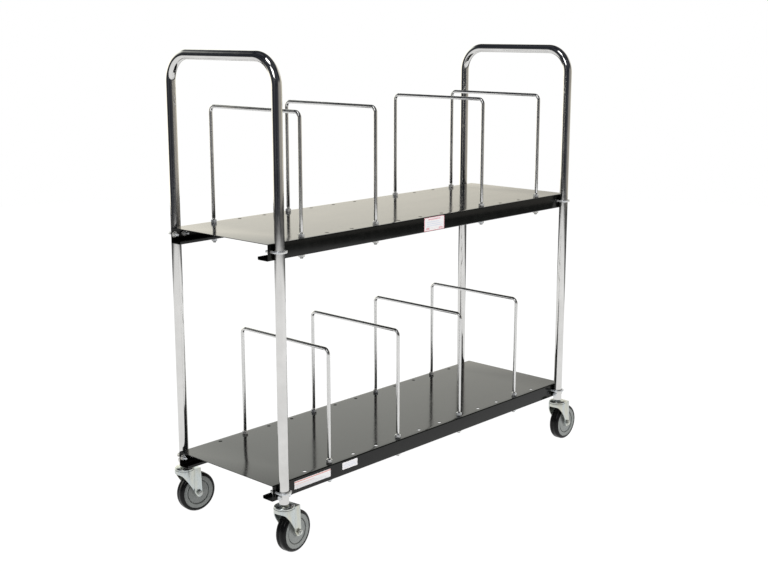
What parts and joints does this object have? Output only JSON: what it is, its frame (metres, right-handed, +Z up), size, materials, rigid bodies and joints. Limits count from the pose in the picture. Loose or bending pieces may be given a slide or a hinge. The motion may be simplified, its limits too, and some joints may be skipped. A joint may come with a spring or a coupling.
{
  "type": "book cart",
  "caption": "Tall rolling book cart with bent chrome tube end frames, black steel decks, wire book dividers and swivel casters.",
  "frame": {"origin": "centre of the footprint at floor level, with the wheels trailing towards +X, each caster turned by the few degrees it has in the picture", "axes": "+X along the decks, +Y from the labelled front to the rear, +Z up"},
  "size_m": [1.2812, 0.4484, 1.233],
  "materials": {
    "chrome_tube": "bright chrome plating on welded tube",
    "chrome_wire": "bright chrome plating on drawn wire",
    "black_enamel": "semi-gloss black powder coat",
    "bright_zinc": "bright zinc plating",
    "fork_zinc": "zinc plating with a faint yellow and blue cast",
    "bearing_steel": "polished bearing balls",
    "wheel_plastic": "moulded blue-grey plastic",
    "tyre_rubber": "smooth black rubber tread",
    "label": "printed vinyl, without lettering"
  },
  "bodies": {
    "root": {"left_end_frame": "chrome_tube", "right_end_frame": "chrome_tube", "upper_deck": "black_enamel", "lower_deck": "black_enamel", "upper_divider_1": "chrome_wire", "upper_divider_2": "chrome_wire", "upper_divider_3": "chrome_wire", "upper_divider_4": "chrome_wire", "lower_divider_1": "chrome_wire", "lower_divider_2": "chrome_wire", "lower_divider_3": "chrome_wire", "lower_divider_4": "chrome_wire", "divider_deck_nuts": "bright_zinc", "divider_lip_nuts": "bright_zinc", "u_bolts": "bright_zinc", "u_bolt_washers": "bright_zinc", "u_bolt_nuts": "bright_zinc", "stem_bolts": "bright_zinc", "stem_bolt_nuts": "bright_zinc", "caster_balls": "bearing_steel", "upper_label": "label", "long_label": "label", "short_label": "label", "front_left_stem": "bright_zinc", "front_left_race_cap": "fork_zinc", "front_right_stem": "bright_zinc", "front_right_race_cap": "fork_zinc", "rear_left_stem": "bright_zinc", "rear_left_race_cap": "fork_zinc", "rear_right_stem": "bright_zinc", "rear_right_race_cap": "fork_zinc"},
    "front_left_swivel": {"front_left_fork": "fork_zinc", "front_left_axle_bolt": "bright_zinc", "front_left_axle_nut": "bright_zinc", "front_left_axle_sleeve": "bright_zinc"},
    "front_left_wheel": {"front_left_wheel_core": "wheel_plastic", "front_left_tyre": "tyre_rubber"},
    "front_right_swivel": {"front_right_fork": "fork_zinc", "front_right_axle_bolt": "bright_zinc", "front_right_axle_nut": "bright_zinc", "front_right_axle_sleeve": "bright_zinc"},
    "front_right_wheel": {"front_right_wheel_core": "wheel_plastic", "front_right_tyre": "tyre_rubber"},
    "rear_left_swivel": {"rear_left_fork": "fork_zinc", "rear_left_axle_bolt": "bright_zinc", "rear_left_axle_nut": "bright_zinc", "rear_left_axle_sleeve": "bright_zinc"},
    "rear_left_wheel": {"rear_left_wheel_core": "wheel_plastic", "rear_left_tyre": "tyre_rubber"},
    "rear_right_swivel": {"rear_right_fork": "fork_zinc", "rear_right_axle_bolt": "bright_zinc", "rear_right_axle_nut": "bright_zinc", "rear_right_axle_sleeve": "bright_zinc"},
    "rear_right_wheel": {"rear_right_wheel_core": "wheel_plastic", "rear_right_tyre": "tyre_rubber"}
  },
  "joints": [
    {"name": "front_left_swivel_turn", "type": "hinge", "parent": "root", "child": "front_left_swivel", "pos_m": [-0.614, -0.1972, 0.124], "axis": [0, 0, 1], "continuous": true},
    {"name": "front_left_wheel_spin", "type": "hinge", "parent": "front_left_swivel", "child": "front_left_wheel", "pos_m": [-0.58174, -0.19324, 0.054], "axis": [-0.1219, 0.9925, 0], "continuous": true},
    {"name": "front_right_swivel_turn", "type": "hinge", "parent": "root", "child": "front_right_swivel", "pos_m": [0.554, -0.1972, 0.124], "axis": [0, 0, 1], "continuous": true},
    {"name": "front_right_wheel_spin", "type": "hinge", "parent": "front_right_swivel", "child": "front_right_wheel", "pos_m": [0.58649, -0.19663, 0.054], "axis": [-0.0175, 0.9998, 0], "continuous": true},
    {"name": "rear_left_swivel_turn", "type": "hinge", "parent": "root", "child": "rear_left_swivel", "pos_m": [-0.614, 0.1972, 0.124], "axis": [0, 0, 1], "continuous": true},
    {"name": "rear_left_wheel_spin", "type": "hinge", "parent": "rear_left_swivel", "child": "rear_left_wheel", "pos_m": [-0.58174, 0.19324, 0.054], "axis": [0.1219, 0.9925, 0], "continuous": true},
    {"name": "rear_right_swivel_turn", "type": "hinge", "parent": "root", "child": "rear_right_swivel", "pos_m": [0.554, 0.1972, 0.124], "axis": [0, 0, 1], "continuous": true},
    {"name": "rear_right_wheel_spin", "type": "hinge", "parent": "rear_right_swivel", "child": "rear_right_wheel", "pos_m": [0.58645, 0.1989, 0.054], "axis": [-0.0523, 0.9986, 0], "continuous": true}
  ]
}
